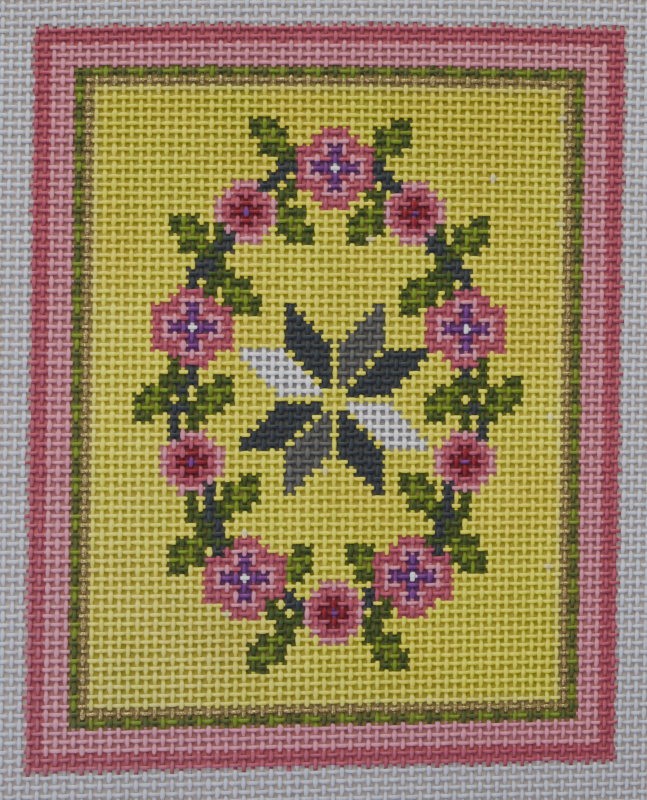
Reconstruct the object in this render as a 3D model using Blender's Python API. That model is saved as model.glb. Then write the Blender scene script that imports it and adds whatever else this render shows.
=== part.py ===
"""A hand-painted needlepoint canvas panel, lying on a surface with its painted side up.

The panel is one piece of stiff, open cotton canvas with raw cut edges. Units are metres,
+X runs to the right across the picture, +Y to its top, +Z is up. The origin is the middle
of the panel's outline, on the surface that it lies on.
"""

import bmesh
import bpy
from mathutils import Vector

MM = 0.001
INCH = 25.4 * MM

# The weave: one thread each way for every stitch, counted in threads.
THREADS_PER_INCH = 13
PITCH = INCH / THREADS_PER_INCH
PAINTED_COLUMNS = 68
PAINTED_ROWS = 84
MARGIN_THREADS = 19

# Two threads lie over each other at every crossing.
THICKNESS = 1.2 * MM

# The painted bands from the outside in: name, width in threads, colour, metallic value.
BANDS = (
    ("rose", 2, (0.46, 0.07, 0.11), 0.0),
    ("pink", 3, (0.62, 0.26, 0.32), 0.0),
    ("green", 1, (0.12, 0.18, 0.03), 0.0),
    ("gold", 1, (0.38, 0.28, 0.12), 0.6),
)
MARGIN_COLOUR = (0.66, 0.68, 0.72)
GROUND_COLOUR = (0.62, 0.55, 0.13)

# Faces that each wide stretch is divided into, so that it can follow the drift and the lift.
MARGIN_STEPS = 4
GROUND_STEPS_ACROSS = 12
GROUND_STEPS_UP = 14

# How far the threads drift out of square, at the edge of the painted area.
SIDE_LEAN = 0.9 * MM
SIDE_DRAW_IN = 1.0 * MM
END_SLANT = 0.8 * MM
TOP_SLANT = 0.7 * MM
END_DRAW_IN = 0.5 * MM
ROW_SINK = 0.3 * MM
ROW_ARCH = 0.4 * MM
DRIFT_ROOM = 0.25

# The corners that stand a little proud of the surface, where the canvas was once rolled:
# side (-1 left, 1 right), end (-1 bottom, 1 top), height of the corner.
CORNER_LIFTS = (
    (-1, 1, 1.2 * MM),
    (1, 1, 2.4 * MM),
    (-1, -1, 1.8 * MM),
    (1, -1, 0.8 * MM),
)
CORNER_REACH = 55 * MM

HALF_PAINTED_X = PAINTED_COLUMNS * PITCH / 2
HALF_PAINTED_Y = PAINTED_ROWS * PITCH / 2
HALF_PANEL_X = HALF_PAINTED_X + MARGIN_THREADS * PITCH
HALF_PANEL_Y = HALF_PAINTED_Y + MARGIN_THREADS * PITCH


def levelled(share):
    """The share of the way to the painted edge, which levels off in the plain margin."""
    beyond = max(abs(share) - 1, 0)
    reached = min(abs(share), 1) + DRIFT_ROOM * beyond / (DRIFT_ROOM + beyond)
    return reached if share > 0 else -reached


def drifted(x, y):
    """Where the point of a perfectly square weave lies in this canvas."""
    across = levelled(x / HALF_PAINTED_X)
    up = levelled(y / HALF_PAINTED_Y)
    move_x = SIDE_LEAN * across**2 * up - SIDE_DRAW_IN * across**3
    slant = across * up**2 * (END_SLANT + TOP_SLANT * up)
    arch = ROW_ARCH * across**2 * up * (1 + up)
    move_y = slant - arch - END_DRAW_IN * up**3 - ROW_SINK * up**4
    return x + move_x, y + move_y


def lifted(x, y):
    """The height of the canvas's underside over the surface."""
    height = 0
    for side, end, corner_height in CORNER_LIFTS:
        from_corner = (HALF_PANEL_X - side * x) + (HALF_PANEL_Y - end * y)
        closeness = max(1 - from_corner / CORNER_REACH, 0)
        height += corner_height * closeness**2
    return height


def grid_lines(half_painted, ground_steps):
    """The places across one direction where faces meet, from one raw edge to the other."""
    edge = half_painted
    lines = [edge + MARGIN_THREADS * PITCH * step / MARGIN_STEPS for step in range(MARGIN_STEPS, 0, -1)]
    for _, threads, _, _ in BANDS:
        lines.append(edge)
        edge -= threads * PITCH
    lines += [edge * (1 - 2 * step / ground_steps) for step in range(ground_steps // 2)]
    return [-line for line in lines] + [0.0] + lines[::-1]


def band_number(x, y):
    """0 is the plain margin, then the painted bands inwards, and last the ground."""
    inside = min(HALF_PAINTED_X - abs(x), HALF_PAINTED_Y - abs(y))
    if inside < 0:
        return 0
    for number, (_, threads, _, _) in enumerate(BANDS, start=1):
        inside -= threads * PITCH
        if inside < 0:
            return number
    return len(BANDS) + 1


def make_material(name, colour, metallic=0.0):
    material = bpy.data.materials.new(name)
    material.use_nodes = True
    shader = material.node_tree.nodes["Principled BSDF"]
    shader.inputs["Base Color"].default_value = (*colour, 1)
    shader.inputs["Roughness"].default_value = 0.8
    shader.inputs["Metallic"].default_value = metallic
    material.diffuse_color = (*colour, 1)
    return material


def middle_of(points):
    low = Vector(min(point[axis] for point in points) for axis in range(2))
    high = Vector(max(point[axis] for point in points) for axis in range(2))
    return (low + high) / 2


def make_canvas():
    """The underside as a grid that follows the bands, thickened upwards."""
    columns = grid_lines(HALF_PAINTED_X, GROUND_STEPS_ACROSS)
    rows = grid_lines(HALF_PAINTED_Y, GROUND_STEPS_UP)
    middle = middle_of([drifted(x, y) for x in columns for y in rows])

    sheet = bmesh.new()
    points = []
    for y in rows:
        line = []
        for x in columns:
            place_x, place_y = drifted(x, y)
            line.append(sheet.verts.new((place_x - middle.x, place_y - middle.y, lifted(x, y))))
        points.append(line)
    for row in range(len(rows) - 1):
        for column in range(len(columns) - 1):
            face = sheet.faces.new(
                (
                    points[row][column],
                    points[row][column + 1],
                    points[row + 1][column + 1],
                    points[row + 1][column],
                )
            )
            face.material_index = band_number(
                (columns[column] + columns[column + 1]) / 2,
                (rows[row] + rows[row + 1]) / 2,
            )

    mesh = bpy.data.meshes.new("canvas")
    sheet.to_mesh(mesh)
    sheet.free()
    mesh.materials.append(make_material("plain_margin", MARGIN_COLOUR))
    for name, _, colour, metallic in BANDS:
        mesh.materials.append(make_material(name, colour, metallic))
    mesh.materials.append(make_material("ground", GROUND_COLOUR))

    canvas = bpy.data.objects.new("canvas", mesh)
    bpy.context.scene.collection.objects.link(canvas)
    thicken = canvas.modifiers.new("thickness", "SOLIDIFY")
    thicken.thickness = THICKNESS
    thicken.offset = 1
    return canvas


for old in list(bpy.data.objects):
    bpy.data.objects.remove(old)
make_canvas()
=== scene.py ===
# %% [markdown]
# # A hand-painted needlepoint canvas, thread by thread
#
# The object is one piece of stiff, open cotton canvas. Someone has painted a border and a
# picture on it with acrylic, one colour for each crossing of two threads, as a guide for
# wool stitches that were never made. It lies flat with the painted side up.
#
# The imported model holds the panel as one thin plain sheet. Here that sheet is replaced by the
# threads themselves, because the holes, the over-and-under and the paint on each thread are
# what the eye sees from a hand's length away. Everything is in metres, in the model's frame.

import math

import bpy
import numpy as np
from mathutils import Euler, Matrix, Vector


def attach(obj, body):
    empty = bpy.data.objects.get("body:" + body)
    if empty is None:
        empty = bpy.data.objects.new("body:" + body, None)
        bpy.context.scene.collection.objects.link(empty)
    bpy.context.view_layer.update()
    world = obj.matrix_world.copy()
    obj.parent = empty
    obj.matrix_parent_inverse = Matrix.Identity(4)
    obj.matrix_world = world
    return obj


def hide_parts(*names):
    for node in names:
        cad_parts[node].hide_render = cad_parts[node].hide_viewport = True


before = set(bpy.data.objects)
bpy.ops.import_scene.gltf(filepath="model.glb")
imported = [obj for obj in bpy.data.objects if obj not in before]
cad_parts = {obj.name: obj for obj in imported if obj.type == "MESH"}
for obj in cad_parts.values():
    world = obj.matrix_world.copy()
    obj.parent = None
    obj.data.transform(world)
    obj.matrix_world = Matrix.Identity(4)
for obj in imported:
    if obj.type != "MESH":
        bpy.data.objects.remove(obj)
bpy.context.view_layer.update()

MM = 0.001

# %% [markdown]
# ## The weave's measures
#
# Canvas is sold by its threads to the inch, and each thread is one stitch. So every place on
# the panel is best counted in threads: the painted part is 68 wide and 84 high, and a plain
# margin of 19 more runs round it. Upright threads are the warp, level threads are the weft.
# The warp is the stouter of the two here, and each thread is widest where it lies on top.

# %% Threads and margins
THREADS_PER_INCH = 13
PITCH = 25.4 * MM / THREADS_PER_INCH
PAINTED_COLUMNS, PAINTED_ROWS = 68, 84
MARGIN_THREADS = 19
COLUMNS = PAINTED_COLUMNS + 2 * MARGIN_THREADS
ROWS = PAINTED_ROWS + 2 * MARGIN_THREADS
HALF_PAINTED_X = PAINTED_COLUMNS * PITCH / 2
HALF_PAINTED_Y = PAINTED_ROWS * PITCH / 2
HALF_PANEL_X = COLUMNS * PITCH / 2
HALF_PANEL_Y = ROWS * PITCH / 2
print(f"{COLUMNS} warp and {ROWS} weft threads, {PITCH / MM:.3f} mm apart")

# %% [markdown]
# ## How the canvas lies
#
# No canvas is quite square: the side threads draw in a little, and the upper rows climb to
# the right and droop at their ends. Four corners stand a millimetre or two proud, left over
# from the roll that the canvas came on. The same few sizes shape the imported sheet, so the
# threads lie exactly where it lies. One function takes a place in the perfect weave and gives
# its place on this panel.

# %% Drift and lift
SIDE_LEAN = 0.9 * MM
SIDE_DRAW_IN = 1.0 * MM
END_SLANT = 0.8 * MM
TOP_SLANT = 0.7 * MM
END_DRAW_IN = 0.5 * MM
ROW_SINK = 0.3 * MM
ROW_ARCH = 0.4 * MM
DRIFT_ROOM = 0.25
CORNER_LIFTS = (  # side (-1 left, 1 right), end (-1 bottom, 1 top), height
    (-1, 1, 1.2 * MM),
    (1, 1, 2.4 * MM),
    (-1, -1, 1.8 * MM),
    (1, -1, 0.8 * MM),
)
CORNER_REACH = 55 * MM
OUTLINE_ACROSS, OUTLINE_UP = 29, 31  # places on the panel that find where its middle is


def levelled(share):
    """The share of the way to the painted edge, which levels off in the plain margin."""
    beyond = np.maximum(np.abs(share) - 1, 0)
    reached = np.minimum(np.abs(share), 1) + DRIFT_ROOM * beyond / (DRIFT_ROOM + beyond)
    return np.sign(share) * reached


def drifted(x, y):
    """Where the point of a perfectly square weave lies in this canvas."""
    across = levelled(x / HALF_PAINTED_X)
    up = levelled(y / HALF_PAINTED_Y)
    move_x = SIDE_LEAN * across**2 * up - SIDE_DRAW_IN * across**3
    slant = across * up**2 * (END_SLANT + TOP_SLANT * up)
    arch = ROW_ARCH * across**2 * up * (1 + up)
    move_y = slant - arch - END_DRAW_IN * up**3 - ROW_SINK * up**4
    return x + move_x, y + move_y


def lifted(x, y):
    """The height of the canvas's underside over the surface."""
    height = np.zeros(np.broadcast(x, y).shape)
    for side, end, corner_height in CORNER_LIFTS:
        from_corner = (HALF_PANEL_X - side * x) + (HALF_PANEL_Y - end * y)
        height += corner_height * np.maximum(1 - from_corner / CORNER_REACH, 0) ** 2
    return height


edge_x, edge_y = np.meshgrid(
    np.linspace(-HALF_PANEL_X, HALF_PANEL_X, OUTLINE_ACROSS),
    np.linspace(-HALF_PANEL_Y, HALF_PANEL_Y, OUTLINE_UP),
)
edge_x, edge_y = drifted(edge_x, edge_y)
MIDDLE_X = (edge_x.min() + edge_x.max()) / 2
MIDDLE_Y = (edge_y.min() + edge_y.max()) / 2
print(f"The outline's middle is {MIDDLE_X / MM:.2f}, {MIDDLE_Y / MM:.2f} mm from the picture's")

# %% [markdown]
# ## The camera
#
# The photograph looks almost straight down from about 45 cm, from a little to the left, so
# the right side is slightly smaller. The camera is placed from those angles and that
# distance, and the lens makes one thread as wide in the picture as it is in the photograph.

# %% Camera
PICTURE_HIGH = 800
THREAD_IN_PICTURE = 8.88  # pixels from one thread to the next
CAMERA_DISTANCE = 450 * MM
CAMERA_BACK = Vector((-1.34, -1.11, 448.9)) * MM  # from the picture's middle, on the camera's axes
CAMERA_TURN = Euler([math.radians(angle) for angle in (-0.53, -7.13, 0.13)], "ZYX")
FILM_HIGH = 36.0

camera_data = bpy.data.cameras.new("camera")
camera_data.sensor_fit = "VERTICAL"
camera_data.sensor_height = FILM_HIGH
camera_data.lens = THREAD_IN_PICTURE / PITCH * CAMERA_DISTANCE * FILM_HIGH / PICTURE_HIGH
camera = bpy.data.objects.new("camera", camera_data)
bpy.context.scene.collection.objects.link(camera)
camera.rotation_mode = "ZYX"
camera.rotation_euler = CAMERA_TURN
camera.location = CAMERA_TURN.to_matrix() @ CAMERA_BACK - Vector((MIDDLE_X, MIDDLE_Y, 0))
bpy.context.scene.camera = camera
print(f"Lens {camera_data.lens:.1f} mm, camera at {camera.location[:]}")

# %% [markdown]
# ## The paints
#
# A painter mixes a dozen acrylics and lays one colour on each crossing. They are named here
# once, as the linear colours that a shader works in: first as it looks on a thread, then as
# it looks where it has run into a hole and mingled with its neighbours. `strength` says how
# far a paint runs along a thread into the next crossing: dark paint creeps over pale paint
# and not the other way round.

# %% Paint box
PAINTS = {  # name: colour, colour in a hole, strength
    "bare": ((0.62, 0.665, 0.72), (0.24, 0.22, 0.21), 0.0),
    "yellow": ((0.84, 0.835, 0.009), (0.52, 0.44, 0.05), 0.1),
    "white": ((0.84, 0.88, 0.86), (0.33, 0.30, 0.28), 0.2),
    "gold": ((0.21, 0.155, 0.036), (0.40, 0.30, 0.11), 0.3),
    "pink": ((0.68, 0.24, 0.305), (0.56, 0.235, 0.21), 0.4),
    "lime": ((0.15, 0.235, 0.006), (0.31, 0.26, 0.06), 0.5),
    "rose": ((0.41, 0.073, 0.114), (0.64, 0.155, 0.165), 0.6),
    "purple": ((0.16, 0.03, 0.20), (0.18, 0.06, 0.15), 0.7),
    "dark red": ((0.24, 0.01, 0.02), (0.25, 0.04, 0.045), 0.8),
    "grey": ((0.105, 0.11, 0.095), (0.15, 0.14, 0.11), 0.8),
    "leaf green": ((0.045, 0.08, 0.007), (0.17, 0.17, 0.04), 0.9),
    "dark green": ((0.07, 0.098, 0.010), (0.32, 0.25, 0.07), 0.9),
    "charcoal": ((0.03, 0.04, 0.043), (0.11, 0.105, 0.09), 1.0),
}
PAINT_NAMES = list(PAINTS)
PAINT_COLOURS = np.array([colour for colour, _, _ in PAINTS.values()])
HOLE_COLOURS = np.array([colour for _, colour, _ in PAINTS.values()])
PAINT_STRENGTHS = np.array([strength for _, _, strength in PAINTS.values()])


def paint(name):
    return PAINT_NAMES.index(name)


# %% [markdown]
# ## The border
#
# The border is plain bands, counted in threads from the outside: two of rose, three of pink,
# one of green dashes and one of metallic gold. The dashes change every two threads, and both
# the level and the upright ones start dark at a corner. It is a rule, so a loop paints it.

# %% Border chart
BANDS = (("rose", 2), ("pink", 3), ("dark green", 1), ("gold", 1))
DASH_THREADS = 2

chart = np.full((PAINTED_ROWS, PAINTED_COLUMNS), paint("yellow"))
outside = 0
for band, width in BANDS:
    for ring in range(outside, outside + width):
        for row in (ring, PAINTED_ROWS - 1 - ring):
            chart[row, ring : PAINTED_COLUMNS - ring] = paint(band)
        for column in (ring, PAINTED_COLUMNS - 1 - ring):
            chart[ring : PAINTED_ROWS - ring, column] = paint(band)
    outside += width

dash_ring = np.argwhere(chart == paint("dark green"))
for row, column in dash_ring:
    level = row in (dash_ring[:, 0].min(), dash_ring[:, 0].max())
    along = (column if level else row) - dash_ring[:, 0].min()
    if along % (2 * DASH_THREADS) >= DASH_THREADS:
        chart[row, column] = paint("lime")

# %% [markdown]
# ## The picture
#
# The picture inside the border is a plain traditional one: an oval garland of simple flowers
# and leaves on a twined stem, round an eight-pointed star. Each motif is charted, one letter
# for each crossing, and a loop sets them round the oval. The stem is two strands that swing
# across each other, which a sine makes.

# %% Motifs
LETTERS = {
    "r": "rose",
    "p": "pink",
    "v": "purple",
    "d": "dark red",
    "l": "lime",
    "g": "leaf green",
    "w": "white",
}
BLOSSOM = (
    "...rrr...",
    "..rpppr..",
    "rrrpvprrr",
    "rpprvrppr",
    "rpvvwvvpr",
    "rpprvrppr",
    "rrrpvprrr",
    "..rpppr..",
    "...rrr...",
)
ROSETTE = (
    "..ppp..",
    ".prrrp.",
    "prrdrrp",
    "prdvdrp",
    "prrdrrp",
    ".prrrp.",
    "..ppp..",
)
LEAF = (
    "...gg",
    ".glll",
    ".gllg",
    "gllg.",
    "gg...",
)
QUARTER_TURNS = {(True, False): 0, (False, False): 1, (False, True): 2, (True, True): 3}

MIDDLE_COLUMN = (PAINTED_COLUMNS - 1) / 2
MIDDLE_ROW = (PAINTED_ROWS - 1) / 2
OVAL_COLUMNS, OVAL_ROWS = 16.5, 25.0
FLOWERS = 10
STEM_SWING = 0.055
STEM_WAVES = 9
STEM_STEPS = 2400
LEAF_SHARES = ((1.18, 0), (0.80, 2))  # place across the oval's line, extra quarter turns


def on_oval(angle, share=1.0):
    """The column and row of a point on the oval, or that share of the way out to it."""
    column = MIDDLE_COLUMN + OVAL_COLUMNS * share * math.cos(angle)
    row = MIDDLE_ROW + OVAL_ROWS * share * math.sin(angle)
    return round(column), round(row)


def stamp(motif, column, row, turns=0):
    """Paints a motif with its middle at a column and row."""
    letters = np.rot90(np.array([list(line) for line in motif]), turns)
    top, left = row - letters.shape[0] // 2, column - letters.shape[1] // 2
    for (down, along), letter in np.ndenumerate(letters):
        if letter in LETTERS:
            chart[top + down, left + along] = paint(LETTERS[letter])


# %% Garland
for step in range(STEM_STEPS):
    angle = 2 * math.pi * step / STEM_STEPS
    swing = STEM_SWING * math.sin(STEM_WAVES * angle)
    for strand, share in (("charcoal", 1 + swing), ("leaf green", 1 - swing)):
        column, row = on_oval(angle, share)
        chart[row, column] = paint(strand)

for number in range(FLOWERS):
    angle = 2 * math.pi * number / FLOWERS - math.pi / 2
    between = angle + math.pi / FLOWERS
    facing = QUARTER_TURNS[math.cos(between) > 0, math.sin(between) > 0]
    for share, extra_turns in LEAF_SHARES:
        stamp(LEAF, *on_oval(between, share), facing + extra_turns)
for number in range(FLOWERS):
    angle = 2 * math.pi * number / FLOWERS - math.pi / 2
    stamp(ROSETTE if number % 2 else BLOSSOM, *on_oval(angle))

# %% Star
STAR_PETAL = 5
star_column, star_row = round(MIDDLE_COLUMN + 0.5), round(MIDDLE_ROW + 0.5)
for down in range(-2 * STAR_PETAL, 2 * STAR_PETAL + 1):
    for along in range(-2 * STAR_PETAL, 2 * STAR_PETAL + 1):
        near, far = sorted((abs(along), abs(down)))
        if not (1 <= near <= STAR_PETAL and near < far <= near + STAR_PETAL):
            continue
        steep, same_side = abs(down) > abs(along), along * down > 0
        if steep:
            petal = "charcoal" if same_side else "grey"
        else:
            petal = "white" if same_side else "charcoal"
        chart[star_row + down, star_column + along] = paint(petal)

painted = {name: int((chart == paint(name)).sum()) for name in PAINT_NAMES}
print("Crossings of each paint:", painted)

# %% [markdown]
# ## Uneven paint
#
# Hand-laid paint is never one tone. Soft patches a few threads across are thinner, thicker or
# deeper in colour. They come from a coarse grid of random numbers drawn out smoothly, always
# from the same seed, so the canvas comes out the same each time.

# %% Random patches
random = np.random.default_rng(13)


def patches(rows, columns, patch_rows, patch_columns):
    """Soft random patches from about -1 to 1, each about that many threads high and wide."""
    coarse = random.uniform(-1, 1, (rows // patch_rows + 3, columns // patch_columns + 3))
    down = np.arange(rows) / patch_rows
    along = np.arange(columns) / patch_columns
    row, column = down.astype(int), along.astype(int)
    ease_down = (3 - 2 * (down - row)) * (down - row) ** 2
    ease_along = (3 - 2 * (along - column)) * (along - column) ** 2
    drawn = coarse[:, column] * (1 - ease_along) + coarse[:, column + 1] * ease_along
    return drawn[row] * (1 - ease_down)[:, None] + drawn[row + 1] * ease_down[:, None]


def slips(shape):
    """Random numbers round 0, most of them small and none beyond 2."""
    return random.normal(0, 1, shape).clip(-2, 2)


panel_chart = np.full((ROWS, COLUMNS), paint("bare"))
inside = slice(MARGIN_THREADS, MARGIN_THREADS + PAINTED_ROWS), slice(
    MARGIN_THREADS, MARGIN_THREADS + PAINTED_COLUMNS
)
panel_chart[inside] = chart

# %% [markdown]
# ## One thread
#
# All the threads are copies of one straight blank, measured in pitches: a six-sided ring,
# pulled out in three steps for one crossing, repeated by an Array modifier and capped. Rings
# sit halfway between crossings and on both sides of each crossing. Six sides and three rings
# are few, but there are 25,000 crossings to cover, and smooth shading rounds the rest.

# %% Thread blank
SIDES = 6
CROWN = 0.2  # from a crossing's middle to the rings beside it, in pitches
SAME_POINT = 0.0001
SMOOTH_UP_TO = math.radians(80)


def deselect_all():
    for obj in bpy.context.selected_objects:
        obj.select_set(False)


def make_blank(name, crossings):
    """A straight capped tube along +Y, one unit across, one unit for each crossing."""
    deselect_all()
    bpy.ops.mesh.primitive_circle_add(
        vertices=SIDES, radius=0.5, location=(0, -0.5, 0), rotation=(math.pi / 2, math.pi / SIDES, 0)
    )
    blank = bpy.context.object
    blank.name = name
    bpy.ops.object.transform_apply(location=True, rotation=True, scale=True)
    bpy.ops.object.mode_set(mode="EDIT")
    bpy.ops.mesh.select_all(action="SELECT")
    for step in (0.5 - CROWN, 2 * CROWN, 0.5 - CROWN):
        bpy.ops.mesh.extrude_edges_move(TRANSFORM_OT_translate={"value": (0, step, 0)})
    bpy.ops.object.mode_set(mode="OBJECT")
    repeat = blank.modifiers.new("repeat", "ARRAY")
    repeat.count = crossings
    repeat.use_relative_offset = False
    repeat.use_constant_offset = True
    repeat.constant_offset_displace = (0, 1, 0)
    repeat.use_merge_vertices = True
    repeat.merge_threshold = SAME_POINT
    bpy.ops.object.modifier_apply(modifier=repeat.name)
    bpy.ops.object.mode_set(mode="EDIT")
    bpy.ops.mesh.select_all(action="SELECT")
    bpy.ops.mesh.fill_holes(sides=SIDES)
    bpy.ops.mesh.select_all(action="SELECT")
    bpy.ops.mesh.normals_make_consistent(inside=False)
    bpy.ops.object.mode_set(mode="OBJECT")
    return blank


class Blank:
    """A thread blank's points and faces as arrays, after which its object is deleted."""

    def __init__(self, name, crossings):
        blank = make_blank(name, crossings)
        mesh = blank.data
        self.crossings = crossings
        self.points = np.empty(len(mesh.vertices) * 3, np.float32)
        mesh.vertices.foreach_get("co", self.points)
        self.points = self.points.reshape(-1, 3).astype(float)
        self.corner_points = np.empty(len(mesh.loops), np.int32)
        mesh.loops.foreach_get("vertex_index", self.corner_points)
        self.face_starts = np.empty(len(mesh.polygons), np.int32)
        mesh.polygons.foreach_get("loop_start", self.face_starts)
        self.face_sizes = np.empty(len(mesh.polygons), np.int32)
        mesh.polygons.foreach_get("loop_total", self.face_sizes)
        sums = np.add.reduceat(self.points[self.corner_points], self.face_starts)
        self.face_middles = sums / self.face_sizes[:, None]
        self.rings, self.point_rings = np.unique(np.round(self.points[:, 1], 3), return_inverse=True)
        self.point_rings = self.point_rings.ravel()
        bpy.data.objects.remove(blank)
        bpy.data.meshes.remove(mesh)

    def crossing_of(self, along):
        """The crossing that a place along the thread belongs to."""
        return np.clip(np.rint(along), 0, self.crossings - 1).astype(int)


warp_blank = Blank("warp_blank", ROWS)
weft_blank = Blank("weft_blank", COLUMNS)
print(f"A warp blank has {len(warp_blank.points)} points, a weft blank {len(weft_blank.points)}")

# %% [markdown]
# ## Over and under
#
# In plain weave each thread goes over one neighbour and under the next. A thread's height is
# a wave with flattened crowns, and its section changes along the way: wide and flat on top,
# rounder and narrower between crossings. The two waves are as high as they have to be for the
# threads to lie on each other, which makes the panel 1.2 mm thick.
#
# Real threads wander. Each one is a little off its place, swings slowly, and jogs at every
# crossing, and no two crossings are pressed quite alike.

# %% Thread sizes
HALF_THICK = 0.63 * MM
WARP = {
    "wave": 0.27 * MM,
    "crown_wide": 1.08 * MM,
    "gap_wide": 0.84 * MM,
    "under_wide": 0.90 * MM,
    "crown_thick": 0.58 * MM,
    "gap_thick": 0.68 * MM,
}
WEFT = {
    "wave": 0.33 * MM,
    "crown_wide": 0.84 * MM,
    "gap_wide": 0.70 * MM,
    "under_wide": 0.80 * MM,
    "crown_thick": 0.56 * MM,
    "gap_thick": 0.62 * MM,
}
HEXAGON_HIGH = math.sin(math.radians(60))  # a hexagon on its side is lower than it is wide
PLACE_SLIP = 0.05 * MM
SWING = 0.07 * MM
SWING_PATCH = 12
JOG = 0.045 * MM
WIDTH_SLIP = 0.09
THICK_SLIP = 0.03
HEIGHT_SLIP = 0.015 * MM
ROLL = math.radians(6)
END_SHORTEST, END_LONGEST = 0.3 * MM, 1.1 * MM


# %% Thread paths
def thread_set(blank, sizes, goes_over):
    """The points of every thread of one direction: across its line, along it, and height.

    goes_over holds, for each thread and each crossing, whether the thread is on top there.
    Places are in metres from the thread's own line and from its first crossing.
    """
    threads = len(goes_over)
    rings = blank.rings
    crossing = blank.crossing_of(rings)
    from_crossing = rings - crossing
    crown = np.sqrt(np.maximum(np.cos(math.pi * from_crossing), 0))
    over = goes_over[:, crossing]

    wide = np.where(over, sizes["crown_wide"], sizes["under_wide"])
    wide = sizes["gap_wide"] + (wide - sizes["gap_wide"]) * crown
    wide *= 1 + WIDTH_SLIP * random.uniform(-1, 1, (threads, 1))
    wide *= 1 + WIDTH_SLIP * random.uniform(-1, 1, (threads, len(rings)))
    thick = sizes["gap_thick"] + (sizes["crown_thick"] - sizes["gap_thick"]) * crown
    thick = thick * (1 + THICK_SLIP * random.uniform(-1, 1, (threads, len(rings))))

    height = HALF_THICK + np.where(over, 1, -1) * sizes["wave"] * crown
    height = height + HEIGHT_SLIP * random.uniform(-1, 1, (threads, len(rings)))

    aside = PLACE_SLIP * slips((threads, 1))
    aside = aside + SWING * patches(len(rings), threads, 3 * SWING_PATCH, 1).T
    aside = aside + JOG * random.uniform(-1, 1, goes_over.shape)[:, crossing]
    aside = aside + 2 * JOG * from_crossing * random.uniform(-1, 1, goes_over.shape)[:, crossing]

    along = np.repeat(rings[None, :] * PITCH, threads, axis=0)
    along[:, 0] -= random.uniform(END_SHORTEST, END_LONGEST, threads)
    along[:, -1] += random.uniform(END_SHORTEST, END_LONGEST, threads)

    roll = ROLL * random.uniform(-1, 1, (threads, len(rings)))
    ring = blank.point_rings
    section_x = blank.points[:, 0] * wide[:, ring]
    section_z = blank.points[:, 2] * thick[:, ring] / HEXAGON_HIGH
    turned_x = section_x * np.cos(roll[:, ring]) - section_z * np.sin(roll[:, ring])
    turned_z = section_x * np.sin(roll[:, ring]) + section_z * np.cos(roll[:, ring])
    on_top = (height[:, ring] - HALF_THICK) / sizes["wave"] / 2 + 0.5
    return aside[:, ring] - turned_x, along[:, ring], height[:, ring] + turned_z, on_top


column_number, row_number = np.meshgrid(np.arange(COLUMNS), np.arange(ROWS))
warp_over = (column_number + row_number) % 2 == 1
column_place = (np.arange(COLUMNS) - (COLUMNS - 1) / 2) * PITCH
row_place = ((ROWS - 1) / 2 - np.arange(ROWS)) * PITCH


def on_panel(x, y, height):
    """Points of the weave, moved to where the panel's drift and lift put them."""
    base = lifted(x, y)
    x, y = drifted(x, y)
    return np.stack([x - MIDDLE_X, y - MIDDLE_Y, base + height], axis=-1)


aside, along, height, warp_on_top = thread_set(warp_blank, WARP, warp_over.T)
warp_points = on_panel(column_place[:, None] + aside, row_place[0] - along, height)
aside, along, height, weft_on_top = thread_set(weft_blank, WEFT, ~warp_over)
weft_points = on_panel(column_place[0] + along, row_place[:, None] + aside, height)
print(f"The warp's lowest point is {warp_points[..., 2].min() / MM:.2f} mm up")

# %% [markdown]
# ## Where the paint is thin, pale or deep, and where shade is painted
#
# The paint gets thinner towards the lower left and beside the gold line, and a few crossings
# were hardly touched at all. The yellow is deeper towards the upper right, and darker towards
# the top and bottom of the picture. The other paints and the bare cotton follow 0.3 of that
# darkening, which is painted shade, and the bare margin has more painted shade towards the
# bottom. Each crossing gets one number for each of these.

# %% Thin and deep places
THIN_PATCH, THIN_SPOT = 0.25, 0.1
THIN_TO_LOWER_LEFT, THICK_ELSEWHERE = 4, 0.5
THIN_BESIDE_GOLD = 0.45
MISSED, MISSED_THIN = 0.002, 1.5  # the share of crossings that the brush hardly touched
DEEP_SHARE, DEEP_PATCH = 0.15, 0.45
TONE_MIDDLE, TONE_DOWN, TONE_ENDS = 1.08, 0.04, 0.26  # the yellow is darker at top and bottom
TONE_PATCH = 0.05
OTHERS_TONE_AND_SHADE = 0.3  # how far the other paints and the bare cotton follow the yellow's tone, which at top and bottom is painted shade
# painted shade on the bare margin, darker towards the bottom
BARE_SHADE_BELOW = 0.10

brushed = THIN_PATCH * patches(ROWS, COLUMNS, 11, 9) + THIN_SPOT * patches(ROWS, COLUMNS, 3, 3)
to_lower_left = (row_number - column_number) / (ROWS + COLUMNS)
thinness = np.clip(brushed + THIN_TO_LOWER_LEFT * to_lower_left - THICK_ELSEWHERE, 0, 1)
thinness = np.where(random.random(thinness.shape) < MISSED, MISSED_THIN, thinness)
beside_gold = np.zeros(panel_chart.shape, bool)
for axis in (0, 1):
    for step in (-1, 1):
        beside_gold |= np.roll(panel_chart == paint("gold"), step, axis)
thinness = np.where(beside_gold, np.maximum(thinness, THIN_BESIDE_GOLD), thinness)
from_middle = (row_number - (ROWS - 1) / 2) / (PAINTED_ROWS / 2)
tone = TONE_MIDDLE + TONE_DOWN * from_middle - TONE_ENDS * np.clip(from_middle, -1, 1) ** 2
tone += TONE_PATCH * patches(ROWS, COLUMNS, 6, 6)
# painted shade: the other paints and the bare cotton get darker at top and bottom with the yellow
tone = np.where(panel_chart == paint("yellow"), tone, 1 + OTHERS_TONE_AND_SHADE * (tone - 1))
# painted shade: the bare cotton gets darker towards the bottom of the panel
bare_shade_below = (panel_chart == paint("bare")) * np.clip(from_middle, 0, 1) ** 2
tone = tone - BARE_SHADE_BELOW * bare_shade_below
deeper = np.clip(DEEP_SHARE + DEEP_PATCH * patches(ROWS, COLUMNS, 9, 7) - to_lower_left, 0, 1)

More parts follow.
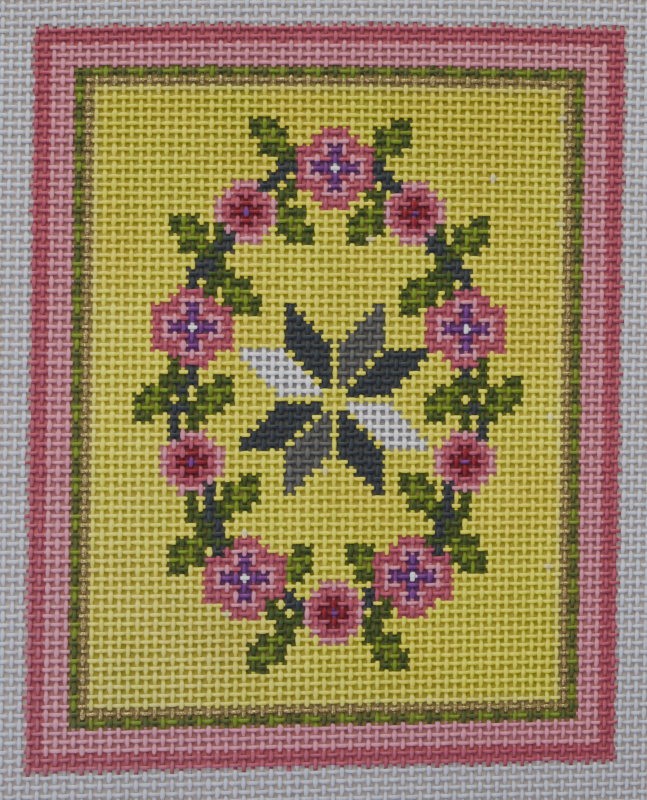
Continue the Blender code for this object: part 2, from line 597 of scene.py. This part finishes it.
# %% [markdown]
# ## Paint on the threads
#
# Each stretch of thread between two rings gets one colour, so a colour ends halfway between
# two crossings, as it does under a brush. Where a stretch climbs out of a crossing, strong
# paint runs a little further down it, and round the outside of the border it often stops
# short. No two crossings have quite the same tone. The brush hardly reaches the underside, so
# the faces there are mostly bare cotton.
#
# The colours are kept on the face corners as an attribute. Three more attributes say how
# thick the paint is, where it is metallic, and how high a point lies, from 0 in the valleys to
# 1 on the crowns.

# %% Colours of the stretches
STRETCHES = 3  # before a crossing, on it, after it
OUTER_STRETCHES = ((0, -1), (STRETCHES - 1, 1))  # each with the step to its neighbour crossing
RUNS_DOWN, RUNS_UP = 0.4, 0.08  # how often strong paint runs into a neighbouring stretch
UNDERSIDE_BARE = (0.6, 0.2, 0.03, 0.0, 0.03, 0.2)  # for each side of the section from below
THINNEST = {"yellow": 0.25, "pink": 0.12, "rose": 0.08}  # the cotton that shows where it is thin
DARK_THINNEST = 0.02
BARE_RANGE = (0.5, 1.2)
ENDS_SHORT_RANGE = (0.3, 1.0)
TONE_RANGE = (0.9, 1.1)
DEEP_YELLOW = np.array([0.84, 0.69, 0.003])
HUE_SLIP = 0.02  # how much redder or greener one crossing is than the next
RED_TO_GREEN = np.array([1, -0.5, 0])

thinnest = np.array([THINNEST.get(name, DARK_THINNEST) for name in PAINT_NAMES])


def painted_stretches(paints, goes_over, thin, shade, deep):
    """Paint number and colour of each stretch of each thread of one direction."""
    stretches = np.repeat(paints[:, :, None], STRETCHES, axis=2)
    for stretch, step in OUTER_STRETCHES:
        neighbour = np.roll(paints, -step, axis=1)
        stronger = PAINT_STRENGTHS[neighbour] > PAINT_STRENGTHS[paints]
        chance = np.where(goes_over, RUNS_UP, RUNS_DOWN)
        runs = stronger & (random.random(paints.shape) < chance)
        runs[:, 0 if step < 0 else -1] = False
        stretches[:, :, stretch] = np.where(runs, neighbour, paints)
    bare = np.clip(thin[:, :, None] * thinnest[stretches], 0, 1)
    bare = bare * random.uniform(*BARE_RANGE, stretches.shape)
    for stretch, step in OUTER_STRETCHES:
        beyond = np.roll(stretches[:, :, STRETCHES - 1 - stretch], -step, axis=1)
        ends = (beyond == paint("bare")) & (paints != paint("bare"))
        ends_short = ends * goes_over * random.uniform(*ENDS_SHORT_RANGE, paints.shape)
        bare[:, :, stretch] = np.maximum(bare[:, :, stretch], ends_short)
    deep = (stretches == paint("yellow")) * deep[:, :, None]
    colours = PAINT_COLOURS[stretches]
    colours = colours + (DEEP_YELLOW - colours) * deep[..., None]
    colours = colours + (PAINT_COLOURS[paint("bare")] - colours) * bare[..., None]
    hue = 1 + HUE_SLIP * slips((*paints.shape, 1)) * RED_TO_GREEN
    colours = colours * hue[:, :, None] * shade[:, :, None, None]
    colours = colours * random.uniform(*TONE_RANGE, (*stretches.shape, 1))
    return stretches, np.clip(colours, 0, 1)


warp_paints, warp_colours = painted_stretches(
    panel_chart.T, warp_over.T, thinness.T, tone.T, deeper.T
)
weft_paints, weft_colours = painted_stretches(panel_chart, ~warp_over, thinness, tone, deeper)

# %% [markdown]
# ## From threads to pieces
#
# A piece of the model may hold 200,000 triangles at most, so the threads are gathered into
# bundles of neighbours, six of warp and six of weft, and each thread stays whole. Every
# thread also gets its own strip of a UV map, wound round it and running down its length, so
# that its paint could be kept in a picture without being stretched.

# %% Bundles
STRIP_FILL = 0.94
CAP_ROOM = 0.004
CAP_MIDDLE = 0.1  # only a cap has its middle this near the thread's own line
SEAM_ANGLE = math.radians(120)
SIDE_ANGLE = 2 * math.pi / SIDES


def strip_places(blank):
    """Where each face corner of a blank lies in its strip, and which side its face is on."""
    faces = np.repeat(np.arange(len(blank.face_sizes)), blank.face_sizes)
    corners = blank.points[blank.corner_points]
    middles = blank.face_middles[faces]
    round_middle = (np.arctan2(middles[:, 2], middles[:, 0]) + SEAM_ANGLE) % (2 * math.pi)
    side = np.floor(round_middle / SIDE_ANGLE).astype(int) % SIDES
    round_corner = (np.arctan2(corners[:, 2], corners[:, 0]) + SEAM_ANGLE) % (2 * math.pi)
    from_side = (round_corner - side * SIDE_ANGLE + math.pi) % (2 * math.pi) - math.pi
    across = (side + from_side / SIDE_ANGLE) / SIDES
    down = (corners[:, 1] + 0.5) / blank.crossings * (1 - 2 * CAP_ROOM) + CAP_ROOM
    cap = np.hypot(middles[:, 0], middles[:, 2]) < CAP_MIDDLE
    at_end = np.where(middles[:, 1] > 0, 1 - CAP_ROOM / 2, CAP_ROOM / 2)
    across = np.where(cap, 0.5 + corners[:, 0] * 0.5, across)
    down = np.where(cap, at_end + corners[:, 2] * CAP_ROOM * 0.5, down)
    return across, down, np.where(cap, SIDES // 2, side)


def add_attribute(mesh, name, kind, domain, field, values):
    attribute = mesh.attributes.new(name, kind, domain)
    attribute.data.foreach_set(field, np.ascontiguousarray(values, np.float32).ravel())


def bundle(name, blank, points, on_top, paints, colours):
    """One mesh object of several whole threads."""
    threads, count = points.shape[:2]
    mesh = bpy.data.meshes.new(name)
    corner_points = blank.corner_points + count * np.arange(threads)[:, None]
    starts = blank.face_starts + len(blank.corner_points) * np.arange(threads)[:, None]
    mesh.vertices.add(threads * count)
    mesh.vertices.foreach_set("co", points.astype(np.float32).ravel())
    mesh.loops.add(corner_points.size)
    mesh.loops.foreach_set("vertex_index", corner_points.astype(np.int32).ravel())
    mesh.polygons.add(starts.size)
    mesh.polygons.foreach_set("loop_start", starts.astype(np.int32).ravel())
    mesh.update(calc_edges=True)
    mesh.validate()

    along = blank.face_middles[:, 1]
    crossing = blank.crossing_of(along)
    stretch = np.clip(np.rint((along - crossing) / (0.5 - CROWN)) + 1, 0, 2).astype(int)
    faces = np.repeat(np.arange(len(blank.face_sizes)), blank.face_sizes)
    across, down, side = strip_places(blank)
    underside = np.array(UNDERSIDE_BARE)[side][None, :, None]
    corner_paints = paints[:, crossing[faces], stretch[faces]]
    colour = colours[:, crossing[faces], stretch[faces]]
    colour = colour * (1 - underside) + PAINT_COLOURS[paint("bare")] * underside
    colour = np.concatenate([colour, np.ones((*colour.shape[:2], 1))], axis=2)
    add_attribute(mesh, "paint", "FLOAT_COLOR", "CORNER", "color", colour)
    film = (corner_paints != paint("bare")) * (1 - underside[..., 0])
    add_attribute(mesh, "film", "FLOAT", "CORNER", "value", film)
    gilt = (corner_paints == paint("gold")) * (1 - underside[..., 0])
    add_attribute(mesh, "gilt", "FLOAT", "CORNER", "value", gilt)
    add_attribute(mesh, "on_top", "FLOAT", "POINT", "value", on_top)

    strips = mesh.uv_layers.new(name="OFBake")
    strip = (np.arange(threads)[:, None] + 0.5 + (across - 0.5) * STRIP_FILL) / threads
    places = np.stack([strip, np.broadcast_to(down, strip.shape)], axis=-1)
    strips.uv.foreach_set("vector", places.astype(np.float32).ravel())

    mesh.shade_smooth()
    mesh.set_sharp_from_angle(angle=SMOOTH_UP_TO)
    piece = bpy.data.objects.new(name, mesh)
    bpy.context.scene.collection.objects.link(piece)
    return piece


BUNDLES = 6


def bundles_of(name, blank, *of_threads):
    """All the threads of one direction as bundles, each with its number of threads."""
    made = []
    split = np.array_split(np.arange(len(of_threads[0])), BUNDLES)
    for number, threads in enumerate(split, start=1):
        piece = bundle(f"{name}_{number}", blank, *[values[threads] for values in of_threads])
        made.append((piece, len(threads)))
    return made


warp_bundles = bundles_of("warp", warp_blank, warp_points, warp_on_top, warp_paints, warp_colours)
weft_bundles = bundles_of("weft", weft_blank, weft_points, weft_on_top, weft_paints, weft_colours)

triangles = 0
for piece, _ in warp_bundles + weft_bundles:
    sizes = np.empty(len(piece.data.polygons), np.int32)
    piece.data.polygons.foreach_get("loop_total", sizes)
    triangles += int((sizes - 2).sum())
print(f"{triangles} triangles in {2 * BUNDLES} bundles")

# %% [markdown]
# ## Paint in the holes
#
# Acrylic is thick enough to cling inside a hole. It dries there as a thin film, a very flat
# funnel low between the four threads, with a pinhole in the middle that is wider where the
# paint is thin. So the holes of the picture look as coloured as its threads, only deeper in
# tone because they lie in the threads' shade, and the holes of the plain margin stay open.

# %% Funnels of paint
FUNNEL_RIM = 0.37  # from a hole's middle, in pitches, which is well under the threads
PINHOLE, THIN_PINHOLE = 0.01, 0.04
FUNNEL_HIGH, FUNNEL_LOW = 0.24 * MM, 0.18 * MM
PINHOLE_RANGE = (0.7, 1.3)
FUNNEL_TONE_RANGE = (0.92, 1.08)
CORNERS = 4
FUNNEL_CORNERS = np.array([(-1, -1), (1, -1), (1, 1), (-1, 1)])


def hole_values(values):
    """For each hole, the values at the four crossings round it."""
    return np.stack([values[:-1, :-1], values[:-1, 1:], values[1:, 1:], values[1:, :-1]])


paints_round = hole_values(panel_chart)
strengths_round = PAINT_STRENGTHS[paints_round]
hole_paints = np.take_along_axis(paints_round, strengths_round.argmax(0)[None], 0)[0]
has_funnel = (paints_round != paint("bare")).all(0)
hole_rows, hole_columns = np.nonzero(has_funnel)
holes = len(hole_rows)

middle_x = (column_place[hole_columns] + column_place[hole_columns + 1]) / 2
middle_y = (row_place[hole_rows] + row_place[hole_rows + 1]) / 2
hole_thinness = hole_values(thinness).mean(0)[has_funnel]
pinhole = PINHOLE + (THIN_PINHOLE - PINHOLE) * hole_thinness
pinhole = pinhole[:, None, None] * random.uniform(*PINHOLE_RANGE, (holes, CORNERS, 1))
rims = np.broadcast_to(FUNNEL_RIM * FUNNEL_CORNERS, (holes, CORNERS, 2))
funnel_places = np.concatenate([rims, pinhole * FUNNEL_CORNERS], axis=1)
funnel_heights = np.repeat([FUNNEL_HIGH, FUNNEL_LOW], CORNERS)
funnel_heights = funnel_heights + HEIGHT_SLIP * random.uniform(-1, 1, (holes, 2 * CORNERS))
funnel_points = on_panel(
    middle_x[:, None] + funnel_places[..., 0] * PITCH,
    middle_y[:, None] + funnel_places[..., 1] * PITCH,
    funnel_heights,
)

rim = np.arange(CORNERS)
next_rim = (rim + 1) % CORNERS
walls = np.stack([rim, next_rim, next_rim + CORNERS, rim + CORNERS], axis=1)
wall_points = (2 * CORNERS * np.arange(holes)[:, None, None] + walls).reshape(-1, CORNERS)
mesh = bpy.data.meshes.new("paint_funnels")
mesh.from_pydata(funnel_points.reshape(-1, 3).tolist(), [], wall_points.tolist())
wall_paints = np.repeat(hole_paints[has_funnel], walls.size)
# each hole follows the tone of its crossings, with its painted shade at top and bottom
hole_tone = hole_values(tone).mean(0)[has_funnel] * random.uniform(*FUNNEL_TONE_RANGE, holes)
wall_tone = np.repeat(hole_tone, walls.size)
wall_colours = np.clip(HOLE_COLOURS[wall_paints] * wall_tone[:, None], 0, 1)
wall_colours = np.concatenate([wall_colours, np.ones((wall_points.size, 1))], axis=1)
add_attribute(mesh, "paint", "FLOAT_COLOR", "CORNER", "color", wall_colours)
add_attribute(mesh, "film", "FLOAT", "CORNER", "value", np.ones(wall_points.size))
add_attribute(mesh, "gilt", "FLOAT", "CORNER", "value", np.zeros(wall_points.size))
add_attribute(mesh, "on_top", "FLOAT", "POINT", "value", np.ones(2 * CORNERS * holes))
level_places = funnel_points.reshape(-1, 3)[wall_points.ravel(), :2]
map_places = level_places / (2 * HALF_PANEL_X, 2 * HALF_PANEL_Y) + 0.5
mesh.uv_layers.new(name="OFBake").uv.foreach_set("vector", map_places.astype(np.float32).ravel())
mesh.shade_smooth()
funnels = bpy.data.objects.new("paint_funnels", mesh)
bpy.context.scene.collection.objects.link(funnels)
print(f"{holes} holes have paint in them")

# %% [markdown]
# ## Writing shader maths as plain sums
#
# A material's nodes do sums on sockets. This small class wraps a socket, so that an ordinary
# expression such as `1 - mask * 0.5` adds its Math nodes by itself. One method adds any
# other kind of node: it takes the kind, its settings, and what goes into its sockets.

# %% Sockets as values
class Wire:
    """An output socket that plain maths works on."""

    tree = None  # the node tree that new nodes go into

    def __init__(self, socket):
        self.socket = socket

    @classmethod
    def node(cls, kind, settings=None, inputs=None, output=0):
        made = cls.tree.nodes.new(kind)
        for name, value in (settings or {}).items():
            setattr(made, name, value)
        for name, value in (inputs or {}).items():
            if isinstance(value, Wire):
                cls.tree.links.new(value.socket, made.inputs[name])
            else:
                made.inputs[name].default_value = value
        return cls(made.outputs[output]) if made.outputs else made

    @classmethod
    def sum(cls, operation, first, second):
        return cls.node("ShaderNodeMath", {"operation": operation}, {0: first, 1: second})

    def __add__(self, other):
        return self.sum("ADD", self, other)

    __radd__ = __add__

    def __sub__(self, other):
        return self.sum("SUBTRACT", self, other)

    def __rsub__(self, other):
        return self.sum("SUBTRACT", other, self)

    def __mul__(self, other):
        return self.sum("MULTIPLY", self, other)

    __rmul__ = __mul__


def start_material(name):
    material = bpy.data.materials.new(name)
    material.use_nodes = True
    material.node_tree.nodes.clear()
    Wire.tree = material.node_tree
    return material


def mix(share, first, second, blend="MIX"):
    """A colour part of the way from the first to the second."""
    settings = {"data_type": "RGBA", "blend_type": blend, "clamp_factor": True}
    return Wire.node("ShaderNodeMix", settings, {0: share, 6: first, 7: second}, output=2)


def rise(value, low, high):
    """0 below low, 1 above high, and smooth between."""
    settings = {"interpolation_type": "SMOOTHSTEP"}
    return Wire.node(
        "ShaderNodeMapRange", settings, {"Value": value, "From Min": low, "From Max": high}
    )


# %% [markdown]
# ## Cotton and paint
#
# The threads are hard-twisted cotton, stiffened with starch. Up close they show fine fibres
# that run along the thread, so the same noise is drawn out along Y for the warp and along X
# for the weft. Acrylic fills the fibres and dries with a faint gloss. It is thinner on the
# crowns, where cotton glints through, and it pools in the valleys, where it is deeper. The
# valleys also get painted shade, which darkens bare cotton and paint alike. The gold is a
# brown paint full of small metallic flakes.

# %% Thread material
FIBRES_PER_METRE = 5000
FIBRE_STRETCH = 0.2
BLOTS_PER_METRE = 1500
FLAKES_PER_METRE = 3600
COTTON = (*PAINTS["bare"][0], 1)
WORN_BLOTS, WORN_SHARE = (0.52, 0.72), 0.04
# painted shade in the valleys, for bare cotton and paint; on paint it also stands for pooled paint
BARE_VALLEY_SHADE = (0.80, 0.76, 0.72, 1)
PAINT_VALLEY_POOL_AND_SHADE = (0.88, 0.81, 0.74, 1)
VALLEY_SHADE_HEIGHTS, VALLEY_SHADE_SHARE = (0.1, 0.75), 0.8
FIBRE_SHADE, FIBRE_SHARE = (0.7, 0.68, 0.66, 1), 0.5
GOLD_FLAKE = (0.86, 0.66, 0.25, 1)
FLAKE_NOISE, FLAKE_METAL = (0.51, 0.58), 0.85
BUMP_HIGH, BUMP_STRENGTH = 0.06 * MM, 0.8
GLOSS = 0.2


def thread_material(name, drawn_out):
    """Painted cotton whose fibres are drawn out along X (0) or Y (1)."""
    material = start_material(name)
    places = Wire.node("ShaderNodeTexCoord", output=3)
    stretch = [1.0, 1.0, 1.0]
    stretch[drawn_out] = FIBRE_STRETCH
    along_thread = Wire.node("ShaderNodeMapping", {}, {"Vector": places, "Scale": stretch})
    fibres = Wire.node(
        "ShaderNodeTexNoise",
        {},
        {"Vector": along_thread, "Scale": FIBRES_PER_METRE, "Detail": 2.0, "Roughness": 0.6},
    )
    blots = Wire.node(
        "ShaderNodeTexNoise",
        {},
        {"Vector": places, "Scale": BLOTS_PER_METRE, "Detail": 3.0, "Roughness": 0.6},
    )
    flakes = Wire.node(
        "ShaderNodeTexNoise",
        {},
        {"Vector": places, "Scale": FLAKES_PER_METRE, "Detail": 1.0, "Roughness": 0.5},
    )
    paint_colour = Wire.node("ShaderNodeAttribute", {"attribute_name": "paint"}, output=0)
    film = Wire.node("ShaderNodeAttribute", {"attribute_name": "film"}, output=2)
    gilt = Wire.node("ShaderNodeAttribute", {"attribute_name": "gilt"}, output=2)
    on_top = Wire.node("ShaderNodeAttribute", {"attribute_name": "on_top"}, output=2)

    worn = rise(blots, *WORN_BLOTS) * on_top * WORN_SHARE
    colour = mix(worn, paint_colour, COTTON)
    # painted shade: colours are multiplied down in the valleys, and on paint this also stands for
    # pooled paint
    valley_shade = 1 - rise(on_top, *VALLEY_SHADE_HEIGHTS)
    valley_shade_tint = mix(film, BARE_VALLEY_SHADE, PAINT_VALLEY_POOL_AND_SHADE)
    colour = mix(valley_shade * VALLEY_SHADE_SHARE, colour, mix(1.0, colour, valley_shade_tint, "MULTIPLY"))
    shaded = mix(1.0, colour, FIBRE_SHADE, "MULTIPLY")
    colour = mix((1 - fibres) * FIBRE_SHARE, colour, shaded)
    flake = rise(flakes, *FLAKE_NOISE) * gilt * on_top
    colour = mix(flake, colour, GOLD_FLAKE)

    roughness = 0.78 - film * 0.2 + fibres * 0.1 - flake * 0.28
    height = fibres * 0.5 + blots * (0.3 + film * 0.4) + flake * 0.5
    bump = Wire.node(
        "ShaderNodeBump", {}, {"Height": height, "Distance": BUMP_HIGH, "Strength": BUMP_STRENGTH}
    )
    shader = Wire.node(
        "ShaderNodeBsdfPrincipled",
        {},
        {
            "Base Color": colour,
            "Roughness": roughness,
            "Metallic": flake * FLAKE_METAL,
            "Normal": bump,
            "Specular IOR Level": GLOSS,
        },
    )
    Wire.node("ShaderNodeOutputMaterial", {}, {"Surface": shader})
    return material


warp_material = thread_material("painted_warp", drawn_out=1)
weft_material = thread_material("painted_weft", drawn_out=0)
for piece, _ in warp_bundles:
    piece.data.materials.append(warp_material)
for piece, _ in weft_bundles:
    piece.data.materials.append(weft_material)
funnels.data.materials.append(weft_material)

# %% [markdown]
# ## Hang the pieces on the panel's body
#
# Every bundle moves with the panel's one body and stands for the imported sheet, which is
# hidden. For each bundle the area that its threads cover is worked out from their number,
# crown width and length. The paint in the holes is one more piece on the same body.

for bundles, sizes, length in (
    (warp_bundles, WARP, ROWS * PITCH),
    (weft_bundles, WEFT, COLUMNS * PITCH),
):
    for piece, threads in bundles:
        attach(piece, "root")
        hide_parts("canvas")
        thread_area = threads * sizes["crown_wide"] * length
        threads * PITCH

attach(funnels, "root")
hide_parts("canvas")

# %% [markdown]
# ## Floor and light
#
# The panel lies on a plain pale floor, which shows through every hole. The light is a soft
# window from above the top of the picture, so that each level thread has a bright upper edge,
# with a weaker cool light from the lower left.

# %% Floor
FLOOR_SIZE = 4.0
FLOOR_COLOUR, FLOOR_ROUGHNESS = (0.84, 0.69, 0.55, 1), 0.85

deselect_all()
bpy.ops.mesh.primitive_plane_add(size=FLOOR_SIZE, location=(0, 0, 0))
floor = bpy.context.object
floor.name = "floor"
floor_material = start_material("pale_floor")
floor_shader = Wire.node(
    "ShaderNodeBsdfPrincipled",
    {},
    {"Base Color": FLOOR_COLOUR, "Roughness": FLOOR_ROUGHNESS},
)
Wire.node("ShaderNodeOutputMaterial", {}, {"Surface": floor_shader})
floor.data.materials.append(floor_material)


# %% Lights
def soft_light(name, place, size, power, colour):
    """A square lamp that faces the middle of the panel."""
    lamp_data = bpy.data.lights.new(name, "AREA")
    lamp_data.size = size
    lamp_data.energy = power
    lamp_data.color = colour
    lamp = bpy.data.objects.new(name, lamp_data)
    bpy.context.scene.collection.objects.link(lamp)
    lamp.location = place
    lamp.rotation_euler = (-Vector(place)).to_track_quat("-Z", "Y").to_euler()


soft_light(
    "window_light", place=(-0.12, 0.66, 0.40), size=0.7, power=8.6, colour=(1.0, 0.95, 0.84)
)
soft_light("cool_fill", place=(-0.35, -0.45, 0.3), size=0.4, power=2.4, colour=(0.6, 0.55, 1.0))

SKY_COLOUR, SKY_STRENGTH = (0.80, 0.86, 1.0, 1), 0.54
world = bpy.data.worlds.new("studio")
bpy.context.scene.world = world
world.use_nodes = True
backdrop = world.node_tree.nodes["Background"]
backdrop.inputs["Color"].default_value = SKY_COLOUR
backdrop.inputs["Strength"].default_value = SKY_STRENGTH
